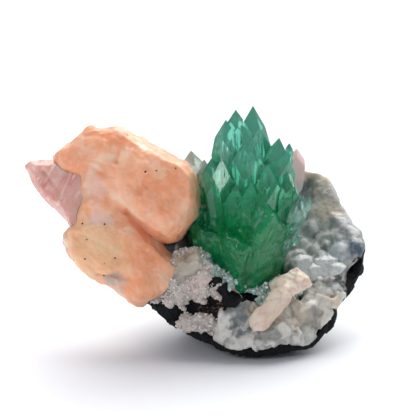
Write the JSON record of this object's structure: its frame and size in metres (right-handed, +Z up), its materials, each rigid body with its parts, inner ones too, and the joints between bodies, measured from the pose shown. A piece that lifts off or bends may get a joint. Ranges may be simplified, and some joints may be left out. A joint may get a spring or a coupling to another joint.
{
  "type": "apophyllite specimen",
  "caption": "Mineral specimen: a cluster of green apophyllite crystals and peach stilbite sheaves growing on a crusted basalt shell that stands on a flat worn foot.",
  "frame": {"origin": "on the flat foot under the basalt, where the specimen stands", "axes": "+Z up, -Y the open front that shows the crystals, +X to the right of someone facing that front, from the stilbite side to the rear wall side"},
  "size_m": [0.0954, 0.051, 0.0659],
  "materials": {
    "basalt": "rough dark broken rock",
    "grey_chalcedony": "waxy, pebbly",
    "blue_chalcedony": "waxy, pebbly",
    "white_quartz": "sparkling druse",
    "pale_green_druse": "fine sparkling druse",
    "beige_chalcedony": "waxy, translucent",
    "green_apophyllite": "glassy crystal faces",
    "pale_apophyllite": "glassy crystal faces",
    "peach_stilbite": "pearly, translucent",
    "pink_stilbite": "glossy, striated",
    "cream_stilbite": "pearly, dull"
  },
  "bodies": {
    "root": {"basalt_matrix": "basalt", "rear_wall_crust": "grey_chalcedony", "rear_left_crust": "blue_chalcedony", "left_druse": "white_quartz", "lower_left_druse": "white_quartz", "front_crust": "grey_chalcedony", "seat_druse": "pale_green_druse", "spire_top": "green_apophyllite", "spire_front": "green_apophyllite", "spire_middle": "green_apophyllite", "spire_left": "green_apophyllite", "right_main": "green_apophyllite", "rear_main": "green_apophyllite", "left_front": "green_apophyllite", "right_front": "green_apophyllite", "left_narrow": "green_apophyllite", "rear_right": "green_apophyllite", "rear_left": "green_apophyllite", "right_small": "green_apophyllite", "front_step": "green_apophyllite", "front_chip": "green_apophyllite", "left_broad": "green_apophyllite", "front_right_step": "green_apophyllite", "front_low": "green_apophyllite", "rear_low": "green_apophyllite", "left_leaf": "green_apophyllite", "left_rear_low": "green_apophyllite", "right_rear_low": "green_apophyllite", "right_low": "green_apophyllite", "flank_right": "green_apophyllite", "flank_low": "green_apophyllite", "flank_splinter": "green_apophyllite", "pale_crystal_left": "pale_apophyllite", "pale_crystal_right": "pale_apophyllite", "pink_crystal_rear": "pink_stilbite", "pink_crystal_left": "pink_stilbite", "upper_stilbite": "peach_stilbite", "lower_stilbite": "peach_stilbite", "pink_blade": "pink_stilbite", "cream_blade": "cream_stilbite", "cream_plate": "cream_stilbite", "beige_lump": "beige_chalcedony", "rim_plate_back": "white_quartz", "rim_plate_middle": "white_quartz", "rim_plate_right": "white_quartz", "rim_plate_front": "white_quartz"}
  },
  "joints": []
}
